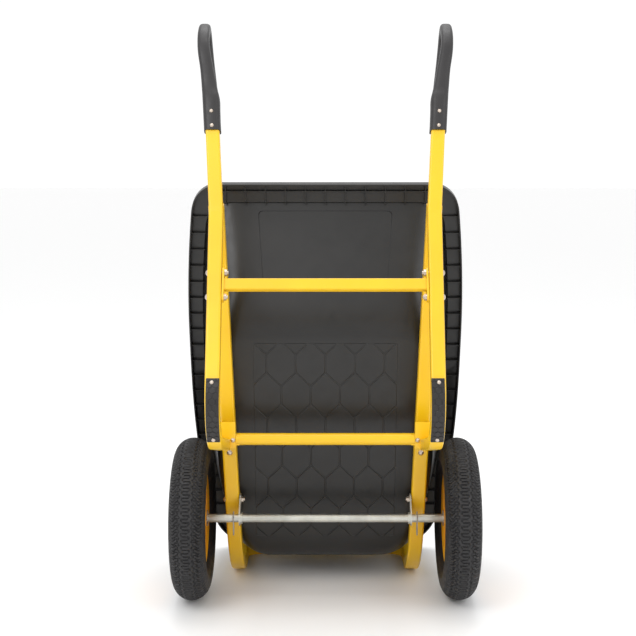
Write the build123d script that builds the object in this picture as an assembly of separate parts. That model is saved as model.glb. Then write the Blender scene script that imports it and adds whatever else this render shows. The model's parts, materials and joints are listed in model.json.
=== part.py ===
"""Two-wheeled garden cart, stored upright on its wheels and the nose of its frame.

Millimetres, +Z up, +X across the cart, +Y from the underside towards the tray's opening.
The origin is on the floor, under the middle of the cart. The cart is first drawn with
its axle in the plane Y = 0 and moved along Y at the end, so that it stands centred.
"""

import math
import os

from build123d import *

# Wheels and axle
TYRE_RADIUS = 180.0
TYRE_WIDTH = 80.0
TYRE_WALL = 7.0
BEAD_RADIUS = 101.5
BEAD_HALF = 21.0
BEAD_INNER = 13.0
FLANGE_RADIUS = 112.0
RIM_SHEET = 2.0
VALVE_X = 8.0
WHEEL_X = 295.0
HUB_RADIUS = 19.0
HUB_HALF = 30.0
BEARING_LENGTH = 16.0
BEARING_RADIUS = 15.5
AXLE_RADIUS = 9.3
AXLE_RUNNING_GAP = 0.05
AXLE_HALF = 334.0
WASHER_THICKNESS = 2.0
SIDE_PLAY = 0.3
CLIP_X = 205.0
COTTER_X = 330.7
BRACKET_X = 190.0
BRACKET_SHEET = 3.0

# Rails: one bent tube each side, under the tray
RAIL_WIDTH = 32.0
RAIL_DEPTH = 28.0
RAIL_LEAN = math.radians(11.0)
RAIL_SPLAY = math.degrees(math.atan(0.0284))
RAIL_INNER_X = 193.0
RAIL_FRONT_Y = 35.0
RAIL_TOP_Z = 882.0
RAIL_BEND = 165.0
NOSE_Y = 316.0
NOSE_BEND = 51.0
TUBE_WALL = 1.6
TUBE_CORNER = 4.0

# Handle and leg tubes: grip end, bend, foot bend and end at the rail
HANDLE_WIDTH = 29.0
HANDLE_DEPTH = 25.0
HANDLE_END = (241.9, -25.4, 1100.0)
HANDLE_ELBOW = (227.0, -113.0, 871.0)
FOOT_CORNER = (220.0, -368.0, 438.0)
LEG_END = (221.0, -56.0, 360.7)
LEG_CUT_Y = -62.0
ELBOW_BEND = 90.0
FOOT_BEND = 85.0
LEG_RISE = HANDLE_ELBOW[2] - FOOT_CORNER[2]
LEG_LEAN = math.degrees(math.atan2(HANDLE_ELBOW[1] - FOOT_CORNER[1], LEG_RISE))

# Crossbars
UPPER_BAR_Z = 725.0
UPPER_BAR_HEIGHT = 25.0
UPPER_BAR_DEPTH = 15.0
LOWER_BAR_Z = 372.0
LOWER_BAR_Y = -50.0
LOWER_BAR_RADIUS = 13.0
LOWER_BAR_HALF = 194.0
LOWER_BOLT_X = 200.5
END_PLATE = 4.0
PLATE_BOLT_REACH = 27.0
BRACKET_FRONT_Y = LEG_CUT_Y
BRACKET_PLATE = 3.0
CHEEKS_X = (216.0, 228.0)
BOLT_RADIUS = 4.0
HEAD_RADIUS = 7.0
NUT_HEIGHT = 5.0

# Tray: corners of the rim, the walls and the floor, as (Y, Z)
TRAY_WALL = 4.0
RIM_REAR = (90.0, 924.0)
RIM_FRONT = (363.0, 12.0)
RIM_THICKNESS = 4.0
LIP_DEPTH = 14.0
LIP_THICKNESS = 3.0
WALL_TOP_REAR = (103.5, 879.0)
WALL_TOP_FRONT = (353.0, 45.5)
WALL_FOOT_REAR = (20.0, 700.0)
WALL_FOOT_FRONT = (150.0, 50.0)
FLOOR_REAR_Z = 577.0
FLOOR_FRONT_Z = 113.0
THROUGH_BOLT_Z = 328.0
BLIND_BOLT_Z = 500.0

# Foot pads
PAD_THICKNESS = 6.0
PAD_WIDTH = 27.0
PAD_TOP_Z = 556.0
PAD_BOTTOM_Z = 424.0

# Grip: points of the loop's centre line as (distance from the middle plane, Y, Z)
GRIP_LOOP = (
    (240.5, -35.0, 1076.0),
    (262.0, 18.0, 1214.0),
    (263.0, 76.0, 1268.0),
    (262.0, 128.0, 1222.0),
    (246.0, 74.0, 1092.0),
)
GRIP_BENDS = 26.0
GRIP_RADIUS = 12.5
SOCKET_LENGTH = 74.0


def rail_front(z):
    """Y of the rails' front face at height z."""
    return RAIL_FRONT_Y - (z - TYRE_RADIUS) * math.tan(RAIL_LEAN)


def rail_back(z):
    """Y of the rails' back face, which is where the tray's floor lies."""
    return rail_front(z) + RAIL_DEPTH / math.cos(RAIL_LEAN)


def rail_inner(z):
    """Distance of the rails' inner face from the middle plane at height z."""
    return RAIL_INNER_X + (z - TYRE_RADIUS) * math.tan(math.radians(RAIL_SPLAY))


def mirrored(shape):
    """The same piece on the other side of the cart."""
    return mirror(shape, about=Plane.YZ)


def rod(start, end, radius):
    """A round rod between two points."""
    start, end = Vector(*start), Vector(*end)
    plane = Plane(origin=start, z_dir=end - start)
    return extrude(plane * Circle(radius), amount=(end - start).length)


def hollow_bar(path, width, depth, wall=TUBE_WALL, corner=TUBE_CORNER):
    """A rectangular tube with rounded corners, swept along a path with its width along X."""
    plane = Plane(origin=path @ 0, x_dir=(1, 0, 0), z_dir=path % 0)
    outer = RectangleRounded(width, depth, corner)
    inner = RectangleRounded(width - 2 * wall, depth - 2 * wall, corner - wall)
    return sweep(plane * outer, path=path) - sweep(plane * inner, path=path)


# ---------------------------------------------------------------- wheels

def ring(points):
    """A ring round the wheel's axis from a closed profile of (radius, offset) points."""
    profile = make_face(Polyline(*[(x, 0, r) for r, x in points], close=True))
    return revolve(profile, axis=Axis.X)


def tyre():
    """Pneumatic tyre, open towards the rim, with three grooves round its tread."""
    crown = TYRE_RADIUS - TYRE_WIDTH / 2
    half = TYRE_WIDTH / 2
    outer_arc = ThreePointArc((-half, 0, crown), (0, 0, TYRE_RADIUS), (half, 0, crown))
    outer_right = Spline((half, 0, crown), (36, 0, 122), (BEAD_HALF, 0, FLANGE_RADIUS))
    outer_left = Spline((-BEAD_HALF, 0, FLANGE_RADIUS), (-36, 0, 122), (-half, 0, crown))
    side_right = Line((BEAD_HALF, 0, FLANGE_RADIUS), (BEAD_HALF, 0, BEAD_RADIUS))
    side_left = Line((-BEAD_HALF, 0, BEAD_RADIUS), (-BEAD_HALF, 0, FLANGE_RADIUS))
    inner_half = half - TYRE_WALL
    inner_crown = TYRE_RADIUS - TYRE_WALL - 2
    inner_arc = ThreePointArc((-inner_half, 0, crown), (0, 0, inner_crown), (inner_half, 0, crown))
    inner_right = Spline((inner_half, 0, crown), (27, 0, 122), (16, 0, 110), (BEAD_INNER, 0, BEAD_RADIUS))
    inner_left = Spline((-BEAD_INNER, 0, BEAD_RADIUS), (-16, 0, 110), (-27, 0, 122), (-inner_half, 0, crown))
    bead_right = Line((BEAD_HALF, 0, BEAD_RADIUS), (BEAD_INNER, 0, BEAD_RADIUS))
    bead_left = Line((-BEAD_INNER, 0, BEAD_RADIUS), (-BEAD_HALF, 0, BEAD_RADIUS))
    edges = [outer_arc, outer_right, side_right, bead_right, inner_right]
    edges += [inner_arc, inner_left, bead_left, side_left, outer_left]
    body = revolve(make_face(Wire(edges)), axis=Axis.X)
    for offset in (-14.0, 14.0):
        groove = ring([(182, offset - 1.5), (182, offset + 1.5), (172, offset + 1.5), (172, offset - 1.5)])
        body -= groove
    return body


def inner_tube():
    """Inflated rubber tube that fills the tyre."""
    profile = Plane.XZ * Pos(0, 138, 0) * (Ellipse(29, 30) - Ellipse(27, 28))
    return revolve(profile, axis=Axis.X)


def rim_half(side):
    """One pressed steel half of the rim; side is +1 for the half at the wheel's +X side."""
    seat = BEAD_RADIUS - 0.2
    outline = [
        (HUB_RADIUS + 0.1, 0),
        (HUB_RADIUS + 0.1, RIM_SHEET),
        (90, RIM_SHEET),
        (96.5, 8),
        (seat - RIM_SHEET, 12),
        (seat - RIM_SHEET, 23),
        (FLANGE_RADIUS - 3, 23),
        (FLANGE_RADIUS, 25.5),
        (FLANGE_RADIUS, 23.5),
        (FLANGE_RADIUS - 2.2, 21.2),
        (seat, 21.2),
        (seat, 11),
        (seat - 3, 6.5),
        (92, 0),
    ]
    half = ring([(r, side * x) for r, x in outline])
    for y, z in rim_bolt_spots():
        half -= rod((-20, y, z), (20, y, z), BOLT_RADIUS)
    if side > 0:
        half -= rod((VALVE_X, 0, 90), (VALVE_X, 0, 106), 4.4)
    return half


def rim_bolt_spots():
    """Centres of the four bolts that hold the rim's halves, as (Y, Z) from the wheel's centre."""
    spots = []
    for quarter in range(4):
        angle = math.radians(45 + 90 * quarter)
        spots.append((55 * math.cos(angle), 55 * math.sin(angle)))
    return spots


def rim_bolts():
    """Four hexagon bolts and nuts through the rim's two halves."""
    pieces = []
    for y, z in rim_bolt_spots():
        piece = bolt((RIM_SHEET, y, z), (-1, 0, 0), 12)
        pieces.append(piece + nut((-RIM_SHEET, y, z), (-1, 0, 0)))
    return Compound(pieces)


def hub():
    """Hub tube with a bearing seat at each end and a collar that locates the rim."""
    body = Rot(0, 90, 0) * Cylinder(HUB_RADIUS, 2 * HUB_HALF)
    for side in (-1, 1):
        body += Pos(side * (RIM_SHEET + 1), 0, 0) * Rot(0, 90, 0) * Cylinder(HUB_RADIUS + 5, 2)
    body -= Rot(0, 90, 0) * Cylinder(AXLE_RADIUS + 2, 2 * HUB_HALF + 1)
    for side in (-1, 1):
        seat = side * (HUB_HALF - BEARING_LENGTH / 2)
        body -= Pos(seat, 0, 0) * Rot(0, 90, 0) * Cylinder(BEARING_RADIUS, BEARING_LENGTH + 0.01)
    return body


def bearings():
    """A plain bush bearing in each end of the hub, running on the axle."""
    bore = Cylinder(AXLE_RADIUS + AXLE_RUNNING_GAP, BEARING_LENGTH + 1)
    bush = Cylinder(BEARING_RADIUS, BEARING_LENGTH) - bore
    seat = HUB_HALF - BEARING_LENGTH / 2
    return Compound([Pos(side * seat, 0, 0) * Rot(0, 90, 0) * bush for side in (-1, 1)])


def valve_stem():
    """Valve stem from the inner tube through the outer half of the rim, inside the dish."""
    stem = rod((VALVE_X, 0, 72), (VALVE_X, 0, 107), 3.5)
    return stem + rod((VALVE_X, 0, 92), (VALVE_X, 0, 105), 4.3)


def valve_cap():
    """Screw cap on the valve stem."""
    return rod((VALVE_X, 0, 60), (VALVE_X, 0, 72), 4.4)


def wheel(side):
    """The pieces of one wheel, in place; side is +1 for the wheel at +X."""
    name = "right" if side > 0 else "left"
    pieces = {
        "tyre": tyre(),
        "inner_tube": inner_tube(),
        "rim_outer": rim_half(1),
        "rim_inner": rim_half(-1),
        "hub": hub(),
        "bearings": bearings(),
        "rim_bolts": rim_bolts(),
        "valve_stem": valve_stem(),
        "valve_cap": valve_cap(),
    }
    placed = {}
    for piece, shape in pieces.items():
        shape = Pos(WHEEL_X, 0, TYRE_RADIUS) * shape
        if side < 0:
            shape = mirrored(shape)
        placed[f"{name}_{piece}"] = shape
    return placed


# ---------------------------------------------------------------- axle

def axle():
    """Plain steel axle with a cross hole at each end and one beside each bracket."""
    body = rod((-AXLE_HALF, 0, TYRE_RADIUS), (AXLE_HALF, 0, TYRE_RADIUS), AXLE_RADIUS)
    for side in (-1, 1):
        for x in (CLIP_X, COTTER_X):
            body -= rod((side * x, 0, TYRE_RADIUS - 20), (side * x, 0, TYRE_RADIUS + 20), 1.7)
    return body


def axle_bracket():
    """Flat plate on the rail's inner face, with the hole that the axle passes through."""
    lobe = Circle(17)
    arm = Pos(34, 34) * Circle(14)
    outline = make_hull((lobe + arm).edges())
    plate = Plane(origin=(BRACKET_X, 0, TYRE_RADIUS), x_dir=(0, 1, 0), z_dir=(1, 0, 0)) * outline
    plate = extrude(plate, amount=BRACKET_SHEET)
    collar = rod((BRACKET_X - 5, 0, TYRE_RADIUS), (BRACKET_X, 0, TYRE_RADIUS), 13)
    body = plate + collar
    body -= rod((BRACKET_X - 10, 0, TYRE_RADIUS), (BRACKET_X + 10, 0, TYRE_RADIUS), AXLE_RADIUS)
    high = TYRE_RADIUS + 34
    return body - rod((BRACKET_X - 10, 34, high), (BRACKET_X + 10, 34, high), BOLT_RADIUS + 0.2)


def hairpin_clip():
    """Spring wire clip whose straight leg passes down through the axle."""
    route = ((0, 15), (0, -37), (-10, -37), (-11, 3), (-15, 13))
    points = [(CLIP_X, y, TYRE_RADIUS + z) for y, z in route]
    path = Wire(FilletPolyline(*points, radius=[4.9, 4.9, 8]).edges())
    return sweep(Plane(origin=path @ 0, z_dir=path % 0) * Circle(1.3), path=path)


def cotter_pin():
    """Pin through the axle's end, outside the washer."""
    pin = rod((COTTER_X, 0, TYRE_RADIUS - 14), (COTTER_X, 0, TYRE_RADIUS + 12), 1.6)
    return pin + Pos(COTTER_X, 0, TYRE_RADIUS + 13) * Sphere(3)


def washer(x, radius):
    """Flat washer on the axle whose middle is at x."""
    disc = Pos(x, 0, TYRE_RADIUS) * Rot(0, 90, 0) * Cylinder(radius, WASHER_THICKNESS)
    return disc - rod((x - 5, 0, TYRE_RADIUS), (x + 5, 0, TYRE_RADIUS), AXLE_RADIUS)


def axle_group():
    """The axle, its brackets and everything that sits on it."""
    inner_x = WHEEL_X - HUB_HALF - SIDE_PLAY - WASHER_THICKNESS / 2
    outer_x = WHEEL_X + HUB_HALF + SIDE_PLAY + WASHER_THICKNESS / 2
    bolts = []
    nuts = []
    for side in (-1, 1):
        spot = (34, TYRE_RADIUS + 34)
        head_x = rail_inner(spot[1]) + RAIL_WIDTH
        bolts.append(bolt((side * head_x, *spot), (-side, 0, 0), head_x - BRACKET_X + 8))
        nuts.append(nut((side * BRACKET_X, *spot), (-side, 0, 0)))
    return {
        "axle": axle(),
        "right_axle_bracket": axle_bracket(),
        "left_axle_bracket": mirrored(axle_bracket()),
        "right_hairpin_clip": hairpin_clip(),
        "left_hairpin_clip": mirrored(hairpin_clip()),
        "inner_washers": Compound([washer(side * inner_x, 18) for side in (-1, 1)]),
        "outer_washers": Compound([washer(side * outer_x, 18) for side in (-1, 1)]),
        "cotter_pins": Compound([cotter_pin(), mirrored(cotter_pin())]),
        "axle_bracket_bolts": Compound(bolts),
        "axle_bracket_nuts": Compound(nuts),
    }


# ---------------------------------------------------------------- fasteners

def bolt(seat, direction, length, head=HEAD_RADIUS):
    """Bolt with a domed head outside its seat; its shank runs from the seat along direction."""
    plane = Plane(origin=seat, z_dir=direction)
    shank = extrude(plane * Circle(BOLT_RADIUS), amount=length)
    dome = Pos(0, 0, head * 0.35) * Sphere(head) & Pos(0, 0, -head * 0.35) * Box(30, 30, head * 0.7)
    return shank + plane * dome


def nut(point, direction):
    """Hexagon nut whose near face is at point, on a bolt along direction."""
    body = extrude(RegularPolygon(HEAD_RADIUS, 6), amount=NUT_HEIGHT) - Cylinder(BOLT_RADIUS, 30)
    return Plane(origin=point, z_dir=direction) * body


# ---------------------------------------------------------------- frame

def rail():
    """Right rail: straight tube, bent round the nose and then inwards along the floor."""
    floor_z = RAIL_DEPTH / 2
    nose_start = NOSE_Y - NOSE_BEND
    x = RAIL_INNER_X + RAIL_WIDTH / 2
    top = (0, rail_front(RAIL_TOP_Z) + RAIL_DEPTH / 2 / math.cos(RAIL_LEAN), RAIL_TOP_Z)
    at_floor = rail_front(floor_z) + RAIL_DEPTH / 2 / math.cos(RAIL_LEAN)
    path = FilletPolyline(top, (0, at_floor, floor_z), (0, nose_start, floor_z), radius=RAIL_BEND)
    path = Wire(path.edges())
    straight = Pos(x, 0, 0) * hollow_bar(path, RAIL_WIDTH, RAIL_DEPTH)
    tilted = Pos(x, 0, TYRE_RADIUS) * Rot(0, RAIL_SPLAY, 0) * Pos(-x, 0, -TYRE_RADIUS) * straight
    return tilted - Pos(x, nose_start + 25, 0) * Box(200, 50, 100) - Pos(x, 0, -10) * Box(200, 800, 20)


def nose_corner():
    """Quarter bend along the floor that joins the right rail to the nose crossbar."""
    floor_z = RAIL_DEPTH / 2
    corner_x = RAIL_INNER_X + RAIL_WIDTH / 2 - 3.5
    start_y = NOSE_Y - NOSE_BEND
    middle = NOSE_BEND * math.sqrt(0.5)
    arc = ThreePointArc(
        (corner_x, start_y, floor_z),
        (corner_x - NOSE_BEND + middle, start_y + middle, floor_z),
        (corner_x - NOSE_BEND, NOSE_Y, floor_z),
    )
    return hollow_bar(Wire([arc]), RAIL_WIDTH, RAIL_DEPTH)


def nose_crossbar():
    """Straight tube along the floor between the nose corners."""
    half = RAIL_INNER_X + RAIL_WIDTH / 2 - 3.5 - NOSE_BEND
    section = RectangleRounded(RAIL_WIDTH, RAIL_DEPTH, TUBE_CORNER)
    bore_width = RAIL_WIDTH - 2 * TUBE_WALL
    bore_depth = RAIL_DEPTH - 2 * TUBE_WALL
    section -= RectangleRounded(bore_width, bore_depth, TUBE_CORNER - TUBE_WALL)
    plane = Plane(origin=(-half, NOSE_Y, RAIL_DEPTH / 2), x_dir=(0, 1, 0), z_dir=(1, 0, 0))
    return extrude(plane * section, amount=2 * half)


def handle_tube():
    """Right handle and leg: one tube from the grip, bent at the elbow and round the foot."""
    points = (HANDLE_END, HANDLE_ELBOW, FOOT_CORNER, LEG_END)
    path = Wire(FilletPolyline(*points, radius=[ELBOW_BEND, FOOT_BEND]).edges())
    beyond_plate = Pos(LEG_END[0], LEG_CUT_Y + 50, LEG_END[2]) * Box(100, 100, 100)
    return hollow_bar(path, HANDLE_WIDTH, HANDLE_DEPTH) - beyond_plate


def handle_envelope():
    """The straight part of the handle tube above the elbow, filled, to cope the rail's top end."""
    path = Wire(FilletPolyline(HANDLE_END, HANDLE_ELBOW, FOOT_CORNER, radius=[ELBOW_BEND]).edges())
    plane = Plane(origin=path @ 0, x_dir=(1, 0, 0), z_dir=path % 0)
    return sweep(plane * Rectangle(HANDLE_WIDTH + 12, HANDLE_DEPTH + 0.2), path=path)


def leg_y(z):
    """Y of the leg's centre line at height z, between the elbow and the foot."""
    share = (HANDLE_ELBOW[2] - z) / (HANDLE_ELBOW[2] - FOOT_CORNER[2])
    return HANDLE_ELBOW[1] + share * (FOOT_CORNER[1] - HANDLE_ELBOW[1])


def leg_x(z):
    """Distance of the leg's centre line from the middle plane at height z."""
    share = (HANDLE_ELBOW[2] - z) / (HANDLE_ELBOW[2] - FOOT_CORNER[2])
    return HANDLE_ELBOW[0] + share * (FOOT_CORNER[0] - HANDLE_ELBOW[0])


def leg_inner(z):
    """Distance of the leg's inner face from the middle plane at height z."""
    return leg_x(z) - HANDLE_WIDTH / 2


def upper_crossbar():
    """Rectangular tube between the legs, aligned with their slope."""
    half = leg_inner(UPPER_BAR_Z) - END_PLATE - 1
    section = RectangleRounded(UPPER_BAR_DEPTH, UPPER_BAR_HEIGHT, 3)
    section -= RectangleRounded(UPPER_BAR_DEPTH - 3, UPPER_BAR_HEIGHT - 3, 1.5)
    plane = Plane(origin=(-half, leg_y(UPPER_BAR_Z), UPPER_BAR_Z), x_dir=(0, 1, 0), z_dir=(1, 0, 0))
    bar = extrude(plane * section, amount=2 * half)
    return bar.rotate(Axis((0, leg_y(UPPER_BAR_Z), UPPER_BAR_Z), (1, 0, 0)), -LEG_LEAN)


def end_plate_spots():
    """Centres of the two bolts of each end plate, as (Y, Z)."""
    spots = []
    for step in (-PLATE_BOLT_REACH, PLATE_BOLT_REACH):
        z = UPPER_BAR_Z + step * math.cos(math.radians(LEG_LEAN))
        spots.append((leg_y(z), z))
    return spots


def end_plate():
    """Flat plate welded to the upper crossbar's right end and bolted to the leg's inner face."""
    half = leg_inner(UPPER_BAR_Z) - END_PLATE - 1
    outline = SlotOverall(2 * PLATE_BOLT_REACH + 22, 22, rotation=90)
    plane = Plane(origin=(half, leg_y(UPPER_BAR_Z), UPPER_BAR_Z), x_dir=(0, 1, 0), z_dir=(1, 0, 0))
    plate = extrude(plane * outline, amount=END_PLATE)
    plate = plate.rotate(Axis((half, leg_y(UPPER_BAR_Z), UPPER_BAR_Z), (1, 0, 0)), -LEG_LEAN)
    for y, z in end_plate_spots():
        plate -= rod((half - 5, y, z), (half + 10, y, z), BOLT_RADIUS + 0.2)
    return plate


def upper_fasteners():
    """Bolts through the legs and end plates, with nuts on the inside."""
    bolts = []
    nuts = []
    plate_x = leg_inner(UPPER_BAR_Z) - END_PLATE - 1
    for side in (-1, 1):
        for y, z in end_plate_spots():
            outer_x = leg_x(z) + HANDLE_WIDTH / 2
            bolts.append(bolt((side * outer_x, y, z), (-side, 0, 0), outer_x - plate_x + 8))
            nuts.append(nut((side * plate_x, y, z), (-side, 0, 0)))
    return Compound(bolts), Compound(nuts)


def lower_crossbar():
    """Round tube between the leg brackets with flattened, drilled ends."""
    centre = (LOWER_BAR_Y, LOWER_BAR_Z)
    half = LOWER_BAR_HALF
    body = rod((-half, *centre), (half, *centre), LOWER_BAR_RADIUS)
    body -= rod((-half - 1, *centre), (half + 1, *centre), LOWER_BAR_RADIUS - TUBE_WALL)
    for side in (-1, 1):
        body += Pos(side * (half + 4), LOWER_BAR_Y - 7, LOWER_BAR_Z) * Box(22, 4, 24)
    return body


def leg_bracket():
    """Plate that the leg's end is welded to, with two cheeks that reach back to the rail."""
    inner = LOWER_BAR_HALF + 0.8
    outer = LEG_END[0] + HANDLE_WIDTH / 2
    face = Pos((inner + outer) / 2, BRACKET_FRONT_Y + BRACKET_PLATE / 2, LOWER_BAR_Z + 11)
    body = face * Box(outer - inner, BRACKET_PLATE, 58)
    front = BRACKET_FRONT_Y + BRACKET_PLATE
    low, high = LOWER_BAR_Z - 16, LOWER_BAR_Z + 30
    for x in CHEEKS_X:
        high_back, low_back = rail_front(high) - 0.3, rail_front(low) - 0.3
        corners = ((x, front, low), (x, front, high), (x, high_back, high), (x, low_back, low))
        body += extrude(make_face(Polyline(*corners, close=True)), amount=BRACKET_PLATE / 2, both=True)
    return body


def foot_pad():
    """Plastic pad that follows the outside of the foot bend, cut from the handle tube's path."""
    points = (HANDLE_END, HANDLE_ELBOW, FOOT_CORNER, LEG_END)
    path = Wire(FilletPolyline(*points, radius=[ELBOW_BEND, FOOT_BEND]).edges())
    plane = Plane(origin=path @ 0, x_dir=(1, 0, 0), z_dir=path % 0)
    offset = HANDLE_DEPTH / 2 + PAD_THICKNESS / 2 + 0.1
    front = Pos(0, offset, 0) if plane.y_dir.Y < 0 else Pos(0, -offset, 0)
    strip = sweep(plane * front * RectangleRounded(PAD_WIDTH, PAD_THICKNESS, 2), path=path)
    window = Pos(FOOT_CORNER[0], FOOT_CORNER[1] + 60, (PAD_TOP_Z + PAD_BOTTOM_Z) / 2)
    return strip & window * Box(120, 200, PAD_TOP_Z - PAD_BOTTOM_Z)


def pad_screws():
    """Two screws through each foot pad into the leg."""
    pieces = []
    for side in (-1, 1):
        for z, y in ((PAD_TOP_Z - 9, leg_y(PAD_TOP_Z - 9) - 21), (PAD_BOTTOM_Z + 8, -321)):
            pieces.append(bolt((side * leg_x(z), y, z), (0, 1, 0), 12, head=4.5))
    return Compound(pieces)


def grip():
    """Right grip: a moulded closed loop on a socket that the handle tube fits into."""
    path = FilletPolyline(*GRIP_LOOP, close=True, radius=GRIP_BENDS)
    loop = Part()
    for edge in path.edges():
        loop += sweep(Plane(origin=edge @ 0, z_dir=edge % 0) * Circle(GRIP_RADIUS), path=edge)
    tube_line = Line(HANDLE_END, HANDLE_ELBOW)
    direction = tube_line % 0
    top = Vector(*HANDLE_END) - direction * 8
    frame = Plane(origin=top, x_dir=(1, 0, 0), z_dir=direction)
    socket = extrude(frame * RectangleRounded(HANDLE_WIDTH + 7, HANDLE_DEPTH + 9, 7), amount=SOCKET_LENGTH)
    body = loop + socket
    cavity = Plane(origin=Vector(*HANDLE_END), x_dir=(1, 0, 0), z_dir=direction)
    return body - extrude(cavity * RectangleRounded(HANDLE_WIDTH, HANDLE_DEPTH, TUBE_CORNER), amount=400)


def grip_screws():
    """Two screws through the front of each grip's socket into the handle tube."""
    pieces = []
    slope = (HANDLE_END[1] - HANDLE_ELBOW[1]) / (HANDLE_END[2] - HANDLE_ELBOW[2])
    flare = (HANDLE_END[0] - HANDLE_ELBOW[0]) / (HANDLE_END[2] - HANDLE_ELBOW[2])
    for side in (-1, 1):
        for z in (1048.0, 1078.0):
            y = HANDLE_END[1] + (z - HANDLE_END[2]) * slope - HANDLE_DEPTH / 2 - 6
            x = HANDLE_END[0] + (z - HANDLE_END[2]) * flare
            pieces.append(bolt((side * x, y, z), (0, 1, 0), 14, head=4.5))
    return Compound(pieces)


# ---------------------------------------------------------------- tray

def floor_point(z, inset):
    """Point of the tray floor's outer face at height z, moved into the tray by inset."""
    return Vector(0, rail_back(z) + 0.3 + inset / math.cos(RAIL_LEAN), z)


def tray_section(share, inset, lift=0.0):
    """Outline of the tray's body between the rim (share 0) and its floor (share 1).

    The straight part of the walls ends at share 0.5, and the rest is the bend to the floor.
    """
    rear_in = Vector(0, 0.91, -0.42) * inset
    front_in = Vector(0, 0.05, 1.0) * inset
    wall_rear = [Vector(0, *WALL_TOP_REAR) + rear_in, Vector(0, *WALL_FOOT_REAR) + rear_in]
    wall_front = [Vector(0, *WALL_TOP_FRONT) + front_in, Vector(0, *WALL_FOOT_FRONT) + front_in]
    if share <= 0.5:
        part = share / 0.5
        rear = wall_rear[0] + (wall_rear[1] - wall_rear[0]) * part
        front = wall_front[0] + (wall_front[1] - wall_front[0]) * part
        half = 283 - 35 * part
    else:
        part = (share - 0.5) / 0.5
        rear = bend_point(wall_rear[1], floor_point(613, inset), floor_point(FLOOR_REAR_Z, inset), part)
        corner = floor_point(54 + inset, inset)
        front = bend_point(wall_front[1], corner, floor_point(FLOOR_FRONT_Z, inset), part)
        half = 248 - 14 * part * part
    rear = rear + (wall_rear[0] - wall_rear[1]).normalized() * lift
    front = front + (wall_front[0] - wall_front[1]).normalized() * lift
    return rounded_outline(rear, front, half - inset, 0.83 - 0.13 * min(share, 0.5), 60)


def bend_point(start, corner, end, part):
    """Point of the quadratic curve from start to end that leaves and arrives towards corner."""
    return start * (1 - part) ** 2 + corner * (2 * part * (1 - part)) + end * part ** 2


def rounded_outline(rear, front, half, narrow, radius):
    """Closed outline between two points of the middle plane, widest between them."""
    length = (rear - front).length
    plane = Plane(origin=front, x_dir=(1, 0, 0), z_dir=Vector(1, 0, 0).cross(rear - front))
    corners = [
        (-half * narrow, 0),
        (-half, length * 0.45),
        (-half, length * 0.7),
        (-half * 0.97, length),
        (half * 0.97, length),
        (half, length * 0.7),
        (half, length * 0.45),
        (half * narrow, 0),
    ]
    outline = Polygon(*corners, align=None)
    sharp = outline.vertices().filter_by(lambda v: abs(v.Y) < 1 or abs(v.Y - length) < 1)
    return plane * fillet(sharp, radius)


def rim_outline(shrink):
    """Outer outline of the rim, moved inwards by shrink."""
    rear, front = Vector(0, *RIM_REAR), Vector(0, *RIM_FRONT)
    along = (rear - front).normalized()
    return rounded_outline(rear - along * shrink, front + along * shrink, 318.0 - shrink, 0.86, 62)


def tray():
    """Moulded tray: open tub with a flat rim and a turned lip."""
    steps = (0.0, 0.5, 0.625, 0.75, 0.875, 1.0)
    outer = loft([tray_section(share, 0) for share in steps], ruled=True)
    inner = [tray_section(share, TRAY_WALL) for share in steps]
    hollow = loft([tray_section(0, TRAY_WALL, lift=20)] + inner, ruled=True)
    sheet = rim_outline(0)
    normal = sheet.face().normal_at()
    if normal.Y < 0:
        normal = normal * -1
    flange = extrude(sheet, amount=RIM_THICKNESS, dir=normal)
    lip = extrude(sheet - rim_outline(LIP_THICKNESS), amount=LIP_DEPTH, dir=normal * -1)
    return outer + flange + lip - hollow


def tray_fasteners():
    """Four bolts that hold the tray to the rails, with wide washers inside the tray.

    The lower pair runs through each rail from the front; the upper pair is driven from
    inside the tray into nuts within the rails.
    """
    through = Vector(0, math.cos(RAIL_LEAN), math.sin(RAIL_LEAN))
    stack = RAIL_DEPTH + TRAY_WALL + 0.6
    disc = extrude(Circle(9.5) - Circle(BOLT_RADIUS), amount=1.5)
    bolts = []
    washers = []
    nuts = []
    for side in (-1, 1):
        for z in (THROUGH_BOLT_Z, BLIND_BOLT_Z):
            front = Vector(side * (rail_inner(z) + RAIL_WIDTH / 2), rail_front(z), z)
            inside = front + through * (stack + 1.5)
            washers.append(Plane(origin=front + through * stack, z_dir=through) * disc)
            if z == THROUGH_BOLT_Z:
                bolts.append(bolt(front, through, stack + 12))
                nuts.append(nut(inside, through))
            else:
                bolts.append(bolt(inside, through * -1, 18))
                nuts.append(nut(front + through * (RAIL_DEPTH - TUBE_WALL - 0.2), through * -1))
    return Compound(bolts), Compound(washers), Compound(nuts)


# ---------------------------------------------------------------- assembly

def frame_group():
    """Tubes, crossbars, brackets, pads, grips and their fasteners."""
    rail_piece = rail() + nose_corner() - handle_envelope()
    upper_bolts, upper_nuts = upper_fasteners()
    bracket_bolts = []
    for side in (-1, 1):
        seat = (side * LOWER_BOLT_X, BRACKET_FRONT_Y, LOWER_BAR_Z)
        bracket_bolts.append(bolt(seat, (0, 1, 0), 12, head=5.5))
    pieces = {
        "right_rail": rail_piece,
        "left_rail": mirrored(rail_piece),
        "nose_crossbar": nose_crossbar(),
        "upper_crossbar": upper_crossbar(),
        "crossbar_end_plates": Compound([end_plate(), mirrored(end_plate())]),
        "crossbar_bolts": upper_bolts,
        "crossbar_nuts": upper_nuts,
        "lower_crossbar": lower_crossbar(),
        "lower_crossbar_bolts": Compound(bracket_bolts),
        "foot_pad_screws": pad_screws(),
        "grip_screws": grip_screws(),
    }
    makers = {"handle_tube": handle_tube, "leg_bracket": leg_bracket, "foot_pad": foot_pad, "grip": grip}
    for name, maker in makers.items():
        piece = maker()
        pieces[f"right_{name}"] = piece
        pieces[f"left_{name}"] = mirrored(piece)
    return pieces


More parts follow.
